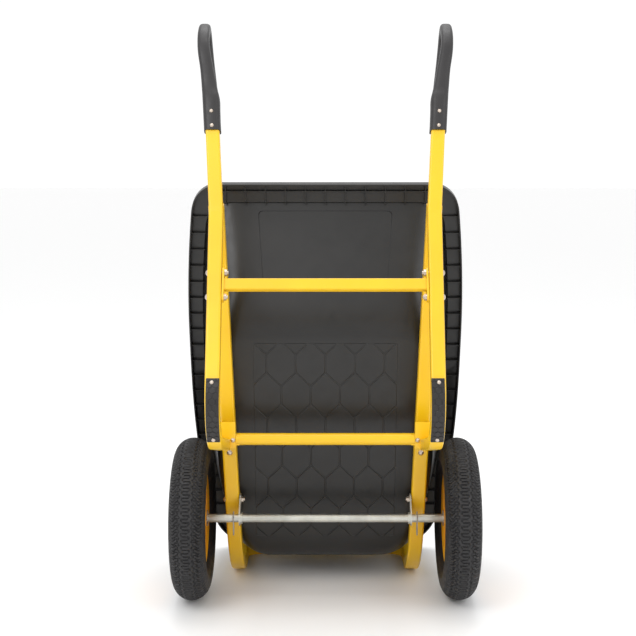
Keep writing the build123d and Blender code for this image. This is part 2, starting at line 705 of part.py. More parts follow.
DRILLED = {
    "axle_bracket_bolts": ("left_rail", "right_rail"),
    "crossbar_bolts": ("left_handle_tube", "right_handle_tube"),
    "lower_crossbar_bolts": ("lower_crossbar", "left_leg_bracket", "right_leg_bracket"),
    "foot_pad_screws": ("left_foot_pad", "right_foot_pad", "left_handle_tube", "right_handle_tube"),
    "grip_screws": ("left_grip", "right_grip", "left_handle_tube", "right_handle_tube"),
    "tray_bolts": ("left_rail", "right_rail", "tray"),
}


def drill(pieces):
    """Cut the holes of the fasteners that pass through other pieces."""
    for fastener, targets in DRILLED.items():
        for target in targets:
            pieces[target] = pieces[target] - pieces[fastener]


def main():
    """Build every piece, centre the cart on the origin along Y and write the files."""
    pieces = frame_group()
    pieces.update(axle_group())
    pieces.update(wheel(1))
    pieces.update(wheel(-1))
    bolts, washers, nuts = tray_fasteners()
    pieces.update({"tray": tray(), "tray_bolts": bolts, "tray_washers": washers, "tray_nuts": nuts})
    drill(pieces)
    boxes = [shape.bounding_box() for shape in pieces.values()]
    middle = (min(box.min.Y for box in boxes) + max(box.max.Y for box in boxes)) / 2
    os.makedirs("parts", exist_ok=True)
    for name, shape in pieces.items():
        export_step(Pos(0, -middle, 0) * shape, f"parts/{name}.step")
    print("axle at Y", round(-middle, 2), "mm;", len(pieces), "pieces")


main()
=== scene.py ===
"""Garden cart, stood upright on its wheels and nose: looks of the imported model."""
import json
import math

import bmesh
import bpy
import numpy as np
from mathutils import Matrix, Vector


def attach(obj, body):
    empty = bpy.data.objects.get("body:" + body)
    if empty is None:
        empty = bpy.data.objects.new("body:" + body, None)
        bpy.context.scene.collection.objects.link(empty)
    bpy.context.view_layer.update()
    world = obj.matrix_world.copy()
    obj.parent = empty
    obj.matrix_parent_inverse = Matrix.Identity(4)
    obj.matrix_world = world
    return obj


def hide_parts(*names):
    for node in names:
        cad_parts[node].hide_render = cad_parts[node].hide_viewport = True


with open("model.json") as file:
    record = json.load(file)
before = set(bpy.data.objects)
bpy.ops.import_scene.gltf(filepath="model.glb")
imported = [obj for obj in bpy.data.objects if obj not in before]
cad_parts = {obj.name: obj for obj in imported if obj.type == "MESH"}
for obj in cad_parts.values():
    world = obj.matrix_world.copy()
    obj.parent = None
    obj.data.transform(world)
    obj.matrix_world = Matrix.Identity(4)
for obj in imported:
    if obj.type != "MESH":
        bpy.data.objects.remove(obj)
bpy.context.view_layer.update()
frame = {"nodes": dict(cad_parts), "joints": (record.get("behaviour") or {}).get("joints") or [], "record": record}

NODES = frame["nodes"]
JOINTS = {joint["name"]: joint for joint in frame["joints"]}
AXLE = Vector(JOINTS["right_wheel_spin"]["pos_m"])
AXLE_Y = AXLE.y
MM = 0.001


# ---------------------------------------------------------------- helpers

def srgb(red, green, blue):
    """Linear colour with alpha from 0-255 display values."""
    def channel(value):
        value /= 255
        return value / 12.92 if value <= 0.04045 else ((value + 0.055) / 1.055) ** 2.4
    return channel(red), channel(green), channel(blue), 1.0


def mesh_object(name, vertices, faces, material, body, sharp=35):
    """A new mesh in place that rides on a body, smooth except at sharp edges."""
    mesh = bpy.data.meshes.new(name)
    mesh.from_pydata([tuple(v) for v in vertices], [], faces)
    mesh.validate()
    tidy = bmesh.new()
    tidy.from_mesh(mesh)
    bmesh.ops.recalc_face_normals(tidy, faces=tidy.faces)
    tidy.to_mesh(mesh)
    tidy.free()
    mesh.polygons.foreach_set("use_smooth", [True] * len(mesh.polygons))
    mesh.set_sharp_from_angle(angle=math.radians(sharp))
    mesh.materials.append(material)
    piece = bpy.data.objects.new(name, mesh)
    bpy.context.scene.collection.objects.link(piece)
    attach(piece, body)
    return piece


def bridge(first, second, count):
    """Quads between two closed rings of vertices that start at the given indices."""
    faces = []
    for i in range(count):
        j = (i + 1) % count
        faces.append((first + i, first + j, second + j, second + i))
    return faces


def soften(piece, width, segments=2, angle=35):
    """Round the sharp edges of a piece with a bevel."""
    bevel = piece.modifiers.new("soft_edges", "BEVEL")
    bevel.width = width
    bevel.segments = segments
    bevel.limit_method = "ANGLE"
    bevel.angle_limit = math.radians(angle)
    bevel.harden_normals = False


# ---------------------------------------------------------------- materials

class Shader:
    """A Principled material with short calls for its node graph."""

    def __init__(self, name, color, roughness=0.5, metallic=0.0):
        self.material = bpy.data.materials.new(name)
        self.material.use_nodes = True
        self.nodes = self.material.node_tree.nodes
        self.links = self.material.node_tree.links
        self.bsdf = self.nodes["Principled BSDF"]
        self.bsdf.inputs["Base Color"].default_value = color
        self.bsdf.inputs["Roughness"].default_value = roughness
        self.bsdf.inputs["Metallic"].default_value = metallic
        self.coords = self.nodes.new("ShaderNodeTexCoord").outputs["Object"]

    def noise(self, scale, detail=4.0, rough=0.5, stretch=None):
        """Noise over the object's own coordinates, stretched where asked."""
        source = self.coords
        if stretch:
            mapping = self.nodes.new("ShaderNodeMapping")
            mapping.inputs["Scale"].default_value = stretch
            self.links.new(source, mapping.inputs["Vector"])
            source = mapping.outputs["Vector"]
        node = self.nodes.new("ShaderNodeTexNoise")
        node.inputs["Scale"].default_value = scale
        node.inputs["Detail"].default_value = detail
        node.inputs["Roughness"].default_value = rough
        self.links.new(source, node.inputs["Vector"])
        return node.outputs["Fac"]

    def ramp(self, source, low, high, color_low, color_high):
        """Colour ramp between two values of a source."""
        node = self.nodes.new("ShaderNodeValToRGB")
        node.color_ramp.elements[0].position = low
        node.color_ramp.elements[0].color = color_low
        node.color_ramp.elements[1].position = high
        node.color_ramp.elements[1].color = color_high
        self.links.new(source, node.inputs["Fac"])
        return node.outputs["Color"]

    def span(self, source, low, high, out_low, out_high):
        """Value that goes from out_low to out_high as the source goes from low to high."""
        node = self.nodes.new("ShaderNodeMapRange")
        for name, value in (("From Min", low), ("From Max", high), ("To Min", out_low), ("To Max", out_high)):
            node.inputs[name].default_value = value
        self.links.new(source, node.inputs["Value"])
        return node.outputs["Result"]

    def bump(self, source, strength, distance):
        """Bump from a height, chained on an earlier bump."""
        node = self.nodes.new("ShaderNodeBump")
        node.inputs["Strength"].default_value = strength
        node.inputs["Distance"].default_value = distance
        self.links.new(source, node.inputs["Height"])
        socket = self.bsdf.inputs["Normal"]
        if socket.is_linked:
            self.links.new(socket.links[0].from_socket, node.inputs["Normal"])
        self.links.new(node.outputs["Normal"], socket)

    def feed(self, name, source):
        """Connect a source to one of the shader's sockets."""
        self.links.new(source, self.bsdf.inputs[name])


def powder_coat(name, color, deep):
    """Glossy powder coat: orange peel, faint cloudiness and scuffs."""
    shader = Shader(name, color, 0.38)
    clouds = shader.noise(6.0, 5.0)
    shader.feed("Base Color", shader.ramp(clouds, 0.3, 0.75, deep, color))
    scuffs = shader.noise(55.0, 6.0, 0.65, (1.0, 1.0, 0.25))
    shader.feed("Roughness", shader.span(scuffs, 0.35, 0.75, 0.3, 0.5))
    shader.bump(shader.noise(420.0, 2.0), 0.12, 0.0006)
    shader.bsdf.inputs["Coat Weight"].default_value = 0.25
    shader.bsdf.inputs["Coat Roughness"].default_value = 0.18
    return shader.material


def moulded_poly(name, color, light, roughness=0.42, grain=900.0):
    """Moulded black poly: fine grain, flow clouds and rubbed patches."""
    shader = Shader(name, color, roughness)
    clouds = shader.noise(9.0, 6.0, 0.6)
    shader.feed("Base Color", shader.ramp(clouds, 0.3, 0.8, color, light))
    rubbed = shader.noise(38.0, 6.0, 0.7)
    shader.feed("Roughness", shader.span(rubbed, 0.3, 0.8, roughness - 0.08, roughness + 0.12))
    shader.bump(shader.noise(grain, 3.0), 0.10, 0.0005)
    shader.bump(shader.noise(14.0, 2.0), 0.05, 0.004)
    return shader.material


def tyre_rubber():
    """Tyre rubber: matt, with dust in the grooves and a fine surface."""
    shader = Shader("tyre_rubber", srgb(24, 23, 25), 0.55)
    dust = shader.noise(70.0, 6.0, 0.7)
    shader.feed("Base Color", shader.ramp(dust, 0.35, 0.8, srgb(20, 19, 21), srgb(38, 37, 38)))
    shader.feed("Roughness", shader.span(shader.noise(120.0), 0.3, 0.7, 0.48, 0.72))
    shader.bump(shader.noise(700.0, 3.0), 0.18, 0.0005)
    return shader.material


def steel(name, color, roughness, stretch, streaks=240.0):
    """Zinc plated steel with drawn streaks and pale passivation patches."""
    shader = Shader(name, color, roughness, 0.92)
    grain = shader.noise(streaks, 4.0, 0.6, stretch)
    patches = shader.noise(30.0, 5.0, 0.6)
    darker = tuple(0.72 * value for value in color[:3]) + (1.0,)
    shader.feed("Base Color", shader.ramp(patches, 0.3, 0.7, darker, color))
    shader.feed("Roughness", shader.span(grain, 0.3, 0.7, roughness - 0.1, roughness + 0.14))
    shader.bump(grain, 0.12, 0.0005)
    return shader.material


YELLOW = powder_coat("yellow_powder_coat", srgb(240, 194, 12), srgb(230, 180, 5))
# Rim coat: the yellow is the rim's own paint, but its darker, more orange tone is painted shade, the colour of the
# rim in shadow.
RIM_YELLOW_PAINTED_SHADE = powder_coat("rim_powder_coat_painted_shade", srgb(240, 176, 30), srgb(226, 158, 20))
TRAY_BLACK = moulded_poly("tray_poly", srgb(20, 19, 18), srgb(29, 28, 27), 0.36)
GRIP_BLACK = moulded_poly("grip_poly", srgb(30, 28, 29), srgb(42, 40, 41), 0.46, 1400.0)
PAD_BLACK = moulded_poly("pad_poly", srgb(24, 21, 20), srgb(36, 33, 31), 0.38)
BUSH_BLACK = moulded_poly("bush_poly", srgb(44, 44, 44), srgb(56, 56, 56), 0.45)
TYRE = tyre_rubber()
ZINC = steel("axle_zinc", srgb(206, 206, 198), 0.34, (0.02, 1.0, 1.0))
FASTENER = steel("fastener_zinc", srgb(214, 200, 186), 0.32, (1.0, 1.0, 1.0))
WIRE = steel("spring_wire", srgb(180, 180, 178), 0.3, (1.0, 1.0, 0.05))
BRASS = steel("valve_brass", srgb(200, 160, 90), 0.35, (1.0, 1.0, 0.1))

SLOT_LOOKS = {
    "frame_paint": YELLOW,
    "wheel_paint": RIM_YELLOW_PAINTED_SHADE,
    "tray": TRAY_BLACK,
    "tyre": TYRE,
    "tube_rubber": TYRE,
    "grip": GRIP_BLACK,
    "pad": PAD_BLACK,
    "zinc": ZINC,
    "wire": WIRE,
    "fasteners": FASTENER,
    "screws": FASTENER,
    "bush": BUSH_BLACK,
    "valve": BRASS,
    "cap": BUSH_BLACK,
}


def paint_cad_nodes():
    """Give every CAD node the material of its slot."""
    for entry in frame["record"]["subparts"]:
        node = NODES[entry["node"]]
        node.data.materials.clear()
        node.data.materials.append(SLOT_LOOKS[entry["material_slot"]])


paint_cad_nodes()


# ---------------------------------------------------------------- tray

RIM_REAR = Vector((0, 90, 924))
RIM_FRONT = Vector((0, 363, 12))
WALL_TOP_REAR = Vector((0, 103.5, 879))
WALL_TOP_FRONT = Vector((0, 353, 45.5))
WALL_FOOT_REAR = Vector((0, 20, 700))
WALL_FOOT_FRONT = Vector((0, 150, 50))
LEAN = math.radians(11)
RAIL_FRONT_Y = 35
AXLE_Z = 180
RAIL_DEPTH = 28
FLOOR_GAP = 0.3
FLOOR_LOW_Z = 116
FLOOR_HIGH_Z = 577
FIRST_ROW_Z = 531
FLOOR_NORMAL = Vector((0, math.cos(LEAN), math.sin(LEAN)))
FLOOR_UP = Vector((0, -math.sin(LEAN), math.cos(LEAN)))
ALONG_RIM = (RIM_REAR - RIM_FRONT).normalized()
RIM_NORMAL = Vector((1, 0, 0)).cross(ALONG_RIM) * -1
RIM_HALF = 317.5
TRAY_WALL = 4.0
LIP_DEPTH = 13.5
RIB_HEIGHT = 9.0
RIB_THICKNESS = 1.6
SIDE_RIB_PITCH = 40.0
REAR_RIB_PITCH = 44.6
PANEL_HALF = 158
CELL_PITCH = 65.0
CELL_ROW = 74.6
CELL_SIDE = 43.0
CELL_GAP = 1.2
WIDEST = 0.62
FRONT_NARROWING = 271
REAR_NARROWING = 170


def place(point):
    """Metres in the row frame from millimetres measured from the axle's plane."""
    return Vector((point[0], point[1], point[2])) * MM + Vector((0, AXLE_Y, 0))


def floor_spot(z, inset=0.0):
    """Point of the tray floor's outer face at height z, moved into the tray by inset."""
    y = RAIL_FRONT_Y - (z - AXLE_Z) * math.tan(LEAN) + RAIL_DEPTH / math.cos(LEAN) + FLOOR_GAP
    return Vector((0, y, z)) + FLOOR_NORMAL * inset


def side_swell(v):
    """Half-width of the rim at share v of its length from the front."""
    if v < WIDEST:
        return RIM_HALF - FRONT_NARROWING * (WIDEST - v) ** 3
    return RIM_HALF - REAR_NARROWING * (v - WIDEST) ** 2


def outline(rear, front, half, narrow, round_rear, round_front):
    """Closed loop of points between two points of the middle plane, widest between them."""
    length = (rear - front).length
    up = (rear - front).normalized()

    def width(v):
        front_pull = narrow * max(0.0, 1 - v / 0.5) ** 2
        return half * (side_swell(v) / RIM_HALF - front_pull)

    def corner(start, mid, end, steps):
        points = []
        for i in range(1, steps):
            t = i / steps
            bow = 0.62
            points.append(tuple(
                start[k] * (1 - t) ** 3 + 3 * (start[k] + (mid[k] - start[k]) * bow) * t * (1 - t) ** 2
                + 3 * (end[k] + (mid[k] - end[k]) * bow) * t * t * (1 - t) + end[k] * t ** 3 for k in (0, 1)))
        return points

    right = [(0.0, 0.0)]
    base = width(0) - round_front
    right += [(base * i / 10, 0.0) for i in range(1, 11)]
    side_start = (width(round_front / length), round_front)
    right += corner((base, 0.0), (width(0), 0.0), side_start, 12)
    for i in range(45):
        v = round_front + (length - round_rear - round_front) * i / 44
        right.append((width(v / length), v))
    top = width(1) - round_rear
    right += corner(right[-1], (width(1), length), (top, length), 12)
    right += [(top * (10 - i) / 10, length) for i in range(10)]
    right.append((0.0, length))
    loop = right + [(-x, v) for x, v in right[-2:0:-1]]
    return [front + up * v + Vector((x, 0, 0)) for x, v in loop]


def bend(start, corner, end, t):
    """Quadratic curve from start to end that leaves and arrives towards corner."""
    return start * (1 - t) ** 2 + corner * (2 * t * (1 - t)) + end * t ** 2


def wall_loop(share, inset):
    """Loop round the tray's body, from the rim (share 0) over the bend (0.5) to the floor (1)."""
    rear_in = Vector((0, 0.91, -0.42)) * inset
    front_in = Vector((0, 0.05, 1.0)) * inset
    rear_top, rear_foot = WALL_TOP_REAR + rear_in, WALL_FOOT_REAR + rear_in
    front_top, front_foot = WALL_TOP_FRONT + front_in, WALL_FOOT_FRONT + front_in
    straight = min(share / 0.5, 1.0)
    if share <= 0.5:
        rear = rear_top.lerp(rear_foot, straight)
        front = front_top.lerp(front_foot, straight)
        half = 283 - 35 * straight
    else:
        t = (share - 0.5) / 0.5
        rear = bend(rear_foot, floor_spot(613, inset), floor_spot(577, inset), t)
        front = bend(front_foot, floor_spot(54 + inset, inset), floor_spot(113, inset), t)
        half = 248 - 14 * t * t
    return outline(rear, front, half - inset, 0.05 * straight, 55, 62)


def tray_shell():
    """The tray as one closed skin: lip, flange, walls and floor, inside and out."""
    shares = [0, 0.25, 0.5] + [0.5 + 0.5 * i / 8 for i in range(1, 9)]
    rim = outline(RIM_REAR, RIM_FRONT, RIM_HALF, 0.0, 62, 82)
    rear_in, front_in = RIM_REAR - ALONG_RIM * 3, RIM_FRONT + ALONG_RIM * 3
    rim_inner = outline(rear_in, front_in, RIM_HALF - 3, 0.0, 60, 80)
    flange_edge = wall_loop(0, -3)
    loops = [[p + RIM_NORMAL * -LIP_DEPTH for p in rim], rim]
    loops.append([p + RIM_NORMAL * 4 for p in rim])
    loops.append([p + RIM_NORMAL * 4 for p in wall_loop(0, TRAY_WALL - 3)])
    loops += [wall_loop(share, TRAY_WALL) for share in shares]
    inner_floor = len(loops) - 1
    outer = [[p + RIM_NORMAL * -LIP_DEPTH for p in rim_inner], rim_inner, flange_edge]
    outer += [wall_loop(share, 0) for share in shares]
    count = len(rim)
    vertices = []
    faces = []
    for loop in loops + outer:
        vertices += [place(p) for p in loop]
    for i in range(len(loops) - 1):
        faces += bridge(i * count, (i + 1) * count, count)
    start = len(loops)
    for i in range(start, start + len(outer) - 1):
        faces += bridge((i + 1) * count, i * count, count)
    faces += bridge(start * count, 0, count)
    faces.append([inner_floor * count + i for i in range(count)])
    faces.append([(start + len(outer) - 1) * count + i for i in reversed(range(count))])
    return vertices, faces


def plate(corners, normal, proud, sunk, chamfer):
    """Closed plate over a convex outline, chamfered at its top edge: vertices and faces."""
    count = len(corners)
    centre = sum(corners, Vector()) / count
    rings = (
        [p - normal * sunk for p in corners],
        [p + normal * (proud - chamfer) for p in corners],
        [p + (centre - p).normalized() * chamfer * 1.6 + normal * proud for p in corners],
    )
    vertices = [p for ring in rings for p in ring]
    faces = [list(range(count))[::-1], list(range(2 * count, 3 * count))]
    for i in range(2):
        faces += bridge(i * count, (i + 1) * count, count)
    return vertices, faces


def clip_polygon(points, low, high):
    """Part of a convex polygon, as (x, v) points, inside a rectangle."""
    for axis, limit, sign in ((0, low[0], 1), (0, high[0], -1), (1, low[1], 1), (1, high[1], -1)):
        kept = []
        for i, here in enumerate(points):
            there = points[(i + 1) % len(points)]
            inside, next_inside = (here[axis] - limit) * sign >= 0, (there[axis] - limit) * sign >= 0
            if inside:
                kept.append(here)
            if inside != next_inside:
                t = (limit - here[axis]) / (there[axis] - here[axis])
                kept.append((here[0] + (there[0] - here[0]) * t, here[1] + (there[1] - here[1]) * t))
        points = kept
        if len(points) < 3:
            return []
    return points


def hexagon(x, v, half_pitch, straight, rise, shrink):
    """Pointed-top hexagon: half its pitch across, its straight side and its slanted rise."""
    a, b, c = half_pitch - shrink, straight / 2 - shrink * 0.4, straight / 2 + rise - shrink * 1.25
    return [(x + a, v - b), (x + a, v + b), (x, v + c), (x - a, v + b), (x - a, v - b), (x, v - c)]


def honeycomb(low, high, pitch, row, straight, first_row, shrink):
    """Hexagons of a honeycomb clipped to a rectangle, as lists of (x, v) points."""
    cells = []
    rows = int((high[1] - low[1]) / row) + 3
    for r in range(-1, rows):
        v = first_row - r * row
        shift = pitch / 2 if r % 2 == 0 else 0.0
        for c in range(-4, 5):
            x = c * pitch + shift
            cell = clip_polygon(hexagon(x, v, pitch / 2, straight, row - straight, shrink), low, high)
            if len(cell) > 2:
                cells.append(cell)
    return cells


def add_part(store, part):
    """Append a (vertices, faces) part to a store of the same kind."""
    shift = len(store[0])
    store[0].extend(part[0])
    store[1].extend([[i + shift for i in face] for face in part[1]])


def floor_panel(store):
    """Honeycomb tiles that stand a little proud of the tray's floor, on its outside."""
    low_spot, high_spot = floor_spot(FLOOR_LOW_Z), floor_spot(FLOOR_HIGH_Z)
    length = (high_spot - low_spot).length
    first_row = (FIRST_ROW_Z - FLOOR_LOW_Z) / math.cos(LEAN)
    low, high = (-PANEL_HALF, 0), (PANEL_HALF, length)
    for cell in honeycomb(low, high, CELL_PITCH, CELL_ROW, CELL_SIDE, first_row, CELL_GAP):
        corners = [place(low_spot + FLOOR_UP * v + Vector((x, 0, 0))) for x, v in cell]
        add_part(store, plate(corners, FLOOR_NORMAL * -1, 1.2 * MM, 1.5 * MM, 0.7 * MM))


def rear_panel(store):
    """Shallow raised trapezoid on the tray's rear slope."""
    up = (WALL_TOP_REAR - WALL_FOOT_REAR).normalized()
    normal = Vector((0, -up.z, up.y))
    low = WALL_FOOT_REAR.lerp(WALL_TOP_REAR, 0.04)
    high = WALL_FOOT_REAR.lerp(WALL_TOP_REAR, 0.9)
    corners = []
    for x, spot in ((-138, low), (138, low), (151, high), (-151, high)):
        corners.append(spot + Vector((x, 0, 0)))
    rounded = []
    for i, corner in enumerate(corners):
        before, after = corners[i - 1], corners[(i + 1) % 4]
        start = corner + (before - corner).normalized() * 12
        end = corner + (after - corner).normalized() * 12
        rounded += [bend(start, corner, end, t / 4) for t in range(5)]
    add_part(store, plate([place(p) for p in rounded], normal, 1.6 * MM, 2 * MM, 1.5 * MM))


def thin_plate(a, b, c, d, thickness):
    """Closed thin plate over four corners given in order."""
    across = (b - a).cross(d - a).normalized() * (thickness / 2)
    vertices = [p - across for p in (a, b, c, d)] + [p + across for p in (a, b, c, d)]
    faces = [[3, 2, 1, 0], [4, 5, 6, 7]]
    faces += bridge(0, 4, 4)
    return vertices, faces


def loop_width(loop, start, v):
    """Half-width of a symmetric loop at height v along the rim, on its +X side."""
    best = 0.0
    for here, there in zip(loop, loop[1:]):
        low, high = (here - start).dot(ALONG_RIM), (there - start).dot(ALONG_RIM)
        if here.x >= 0 and there.x >= 0 and min(low, high) <= v <= max(low, high) and low != high:
            share = (v - low) / (high - low)
            best = max(best, here.x + (there.x - here.x) * share)
    return best


def rib(store, start, end):
    """One rib that hangs below the rim between two points of its underside."""
    down = RIM_NORMAL * -RIB_HEIGHT
    corners = [place(p) for p in (start, end, end + down * 0.9, start + down)]
    add_part(store, thin_plate(*corners, RIB_THICKNESS * MM))


def flange_ribs(store):
    """Thin ribs under the rim, square to its edge: along both sides, at the rear and one across."""
    outer = outline(RIM_REAR, RIM_FRONT, RIM_HALF - 2.5, 0.0, 60, 80)
    inner = wall_loop(0, 0)
    length = (RIM_REAR - RIM_FRONT).length
    wall_start = (WALL_TOP_FRONT - RIM_FRONT).dot(ALONG_RIM)
    wall_end = (WALL_TOP_REAR - RIM_FRONT).dot(ALONG_RIM)
    v = wall_start + SIDE_RIB_PITCH
    while v < wall_end - 10:
        edge, wall = loop_width(outer, RIM_FRONT, v), loop_width(inner, RIM_FRONT, v)
        spot = RIM_FRONT + ALONG_RIM * v
        for side in (-1, 1):
            rib(store, spot + Vector((side * edge, 0, 0)), spot + Vector((side * wall, 0, 0)))
        v += SIDE_RIB_PITCH
    for step in range(-5, 6):
        x = Vector((step * REAR_RIB_PITCH, 0, 0))
        rib(store, RIM_REAR - ALONG_RIM * 2.5 + x, RIM_FRONT + ALONG_RIM * wall_end + x)
    line = RIM_FRONT + ALONG_RIM * (length - 18)
    rib(store, line + Vector((-245, 0, 0)), line + Vector((245, 0, 0)))


def make_tray():
    """The whole tray as one piece that replaces the plain CAD tray."""
    store = ([], [])
    vertices, faces = tray_shell()
    add_part(store, (vertices, faces))
    floor_panel(store)
    rear_panel(store)
    flange_ribs(store)
    tray = mesh_object("tray_moulding", store[0], store[1], TRAY_BLACK, "frame", sharp=32)
    soften(tray, 0.9 * MM, 2, 40)
    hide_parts("tray")


make_tray()


# ---------------------------------------------------------------- tyres

TYRE_RADIUS = 180.0
SECTION_RADIUS = 39.6
CROWN = TYRE_RADIUS - 40.0
TREAD_PITCHES = 76
TREAD_REACH = 44.0
GROOVE_DEPTH = 2.6
GROOVE_HALF = 1.25
GROOVES = (
    ((0.0, 13.0), (0.3, 17.0), (0.7, 17.0), (1.0, 13.0)),
    ((0.15, 17.0), (0.15, 23.0), (0.6, 29.0), (0.6, 35.0), (0.25, 41.0), (0.25, 46.0)),
    ((0.72, 17.0), (0.72, 22.0), (1.15, 28.0), (1.15, 33.0)),
    ((0.25, 0.0), (0.25, 8.0), (0.55, 8.0)),
    ((0.75, 0.0), (0.75, 5.0)),
    ((0.95, 36.0), (0.7, 41.0), (0.7, 46.0)),
)


def groove_height(turn, across):
    """Depth of the tread pattern in mm at a turn in pitches and a distance across the crown."""
    pitch = 2 * math.pi * TYRE_RADIUS / TREAD_PITCHES
    side = np.abs(across)
    phase = np.where(across < 0, turn + 0.5, turn) % 1.0
    nearest = np.full(turn.shape, 99.0)
    for groove in GROOVES:
        for (u0, p0), (u1, p1) in zip(groove, groove[1:]):
            for shift in (-1.0, 0.0, 1.0):
                ax, ay = (u0 + shift) * pitch, p0
                bx, by = (u1 + shift) * pitch, p1
                dx, dy = bx - ax, by - ay
                t = np.clip(((phase * pitch - ax) * dx + (side - ay) * dy) / (dx * dx + dy * dy), 0, 1)
                gap = np.hypot(phase * pitch - ax - t * dx, side - ay - t * dy)
                nearest = np.minimum(nearest, gap)
    edge = np.clip((nearest - GROOVE_HALF * 0.6) / (GROOVE_HALF * 0.8), 0, 1)
    return GROOVE_DEPTH * (1 - edge * edge * (3 - 2 * edge))


def tyre_profile():
    """Section of the tyre as (offset, radius) points, from one bead round the crown to the other."""
    crown_steps = 84
    arc = [math.radians(-90 + 180 * i / crown_steps) for i in range(crown_steps + 1)]
    crown = [(SECTION_RADIUS * math.sin(a), CROWN + SECTION_RADIUS * math.cos(a)) for a in arc]
    wall = [(39.0, 134.0), (38.6, 131.5), (37.2, 130.5), (35.4, 124.0), (31.0, 118.0)]
    wall += [(25.5, 114.0), (21.4, 112.6)]
    bead = [(21.0, 111.0), (21.0, 101.6), (13.0, 101.6), (16.0, 110.0), (27.0, 122.0), (32.6, 136.0)]
    right = wall + bead
    left = [(-x, r) for x, r in right]
    inside = [(24.0, 161.0), (0.0, 170.0), (-24.0, 161.0)]
    return left[:7][::-1] + crown + right + inside + left[7:][::-1], 7, crown_steps + 1


def make_tyre(side, pieces=900):
    """Tyre with a moulded block tread, as a revolved grid with its grooves pressed in."""
    profile, first, span = tyre_profile()
    offsets = np.array([p[0] for p in profile])
    radii = np.array([p[1] for p in profile])
    turn = np.arange(pieces)[:, None] * TREAD_PITCHES / pieces * np.ones((1, len(profile)))
    angle = np.arctan2(offsets, radii - CROWN)
    across = np.broadcast_to(angle * SECTION_RADIUS, turn.shape)
    depth = groove_height(turn, across)
    tread = np.zeros(len(profile), bool)
    tread[first:first + span] = True
    fade = np.clip((TREAD_REACH - np.abs(across)) / 2.0, 0, 1) * tread
    depth = depth * fade
    x = offsets - depth * np.sin(angle)
    r = radii - depth * np.cos(angle)
    theta = np.arange(pieces)[:, None] * 2 * math.pi / pieces
    points = np.stack([np.broadcast_to(x, depth.shape), r * np.cos(theta), r * np.sin(theta)], axis=2)
    body = "right_wheel" if side > 0 else "left_wheel"
    centre = Vector((side * AXLE.x, AXLE.y, AXLE.z))
    vertices = points.reshape(-1, 3) * MM + np.array(centre)
    count = len(profile)
    faces = []
    for i in range(pieces):
        j = (i + 1) % pieces
        for k in range(count):
            m = (k + 1) % count
            faces.append((i * count + k, j * count + k, j * count + m, i * count + m))
    name = body.replace("wheel", "tyre")
    tyre = mesh_object(name + "_tread", vertices, faces, TYRE, body, sharp=50)
    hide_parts(name)


for wheel_side in (-1, 1):
    make_tyre(wheel_side)


# ---------------------------------------------------------------- grips

# Centre line of the right grip as (x, y, z, width, depth), from the socket up and round
GRIP_PATH = (
    (237.8, -50.0, 1034.0, 36.0, 35.0), (239.2, -42.5, 1054.0, 36.0, 35.0),
    (240.8, -33.0, 1080.0, 36.5, 35.5), (242.2, -24.5, 1102.0, 37.0, 36.0),
    (246.0, -14.5, 1124.0, 33.5, 31.0),
    (252.5, 1.0, 1165.0, 29.0, 26.5), (259.0, 13.5, 1200.0, 27.5, 25.0),
    (262.0, 26.0, 1223.0, 26.0, 25.0), (263.0, 46.0, 1244.0, 25.5, 25.0),
    (263.0, 76.0, 1257.5, 25.0, 25.0), (263.0, 100.0, 1248.0, 25.0, 24.5),
    (261.5, 109.0, 1222.0, 25.0, 24.0), (257.5, 102.0, 1185.0, 25.0, 24.0),
    (251.5, 86.0, 1140.0, 25.0, 24.0), (246.5, 66.0, 1100.0, 26.0, 25.0),
    (243.5, 34.0, 1080.0, 27.0, 26.0), (241.0, -8.0, 1070.0, 28.0, 28.0),
    (240.0, -34.0, 1066.0, 28.0, 28.0),
)
GRIP_RING = 28
GRIP_STEPS = 8
GRIP_SQUARENESS = 0.62


def smooth_path(points, steps):
    """Catmull-Rom curve through points of any dimension."""
    data = np.array(points)
    data = np.vstack([2 * data[0] - data[1], data, 2 * data[-1] - data[-2]])
    curve = []
    for i in range(1, len(data) - 2):
        before, here, there, after = data[i - 1:i + 3]
        for step in range(steps):
            t = step / steps
            curve.append(0.5 * (2 * here + (there - before) * t
                                + (2 * before - 5 * here + 4 * there - after) * t ** 2
                                + (3 * here - before - 3 * there + after) * t ** 3))
    curve.append(data[-2])
    return curve


def make_grip(side):
    """Moulded loop grip that widens into its socket, in place of the plain CAD grip."""
    path = smooth_path(GRIP_PATH, GRIP_STEPS)
    vertices = []
    for i, (x, y, z, width, depth) in enumerate(path):
        before, after = path[max(i - 1, 0)], path[min(i + 1, len(path) - 1)]
        along = Vector((0, after[1] - before[1], after[2] - before[2])).normalized()
        out = Vector((0, along.z, -along.y))
        for k in range(GRIP_RING):
            angle = 2 * math.pi * k / GRIP_RING
            c, s = math.cos(angle), math.sin(angle)
            across = math.copysign(abs(c) ** GRIP_SQUARENESS, c) * width / 2
            forward = math.copysign(abs(s) ** GRIP_SQUARENESS, s) * depth / 2
            vertices.append(place(Vector((side * (x + across), y, z)) + out * forward))
    last = len(path) - 1
    faces = [list(range(GRIP_RING)), [last * GRIP_RING + k for k in reversed(range(GRIP_RING))]]
    for i in range(last):
        faces += bridge(i * GRIP_RING, (i + 1) * GRIP_RING, GRIP_RING)
    name = "right_grip" if side > 0 else "left_grip"
    moulding = mesh_object(name + "_moulding", vertices, faces, GRIP_BLACK, "frame", sharp=50)
    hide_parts(name)


for grip_side in (-1, 1):
    make_grip(grip_side)


# ---------------------------------------------------------------- foot pads

FOOT_BEND_CENTRE = (-237.9, 491.5)
PAD_RADIUS = 102.6
PAD_HALF = 13.0
PAD_THICKNESS = 5.4
PAD_LOW_Z = 425.0
PAD_HIGH_Z = 555.0
PAD_X = 220.3
LEG_SLOPE = math.atan2(255.0, 433.0)
PAD_CELL = 6.6


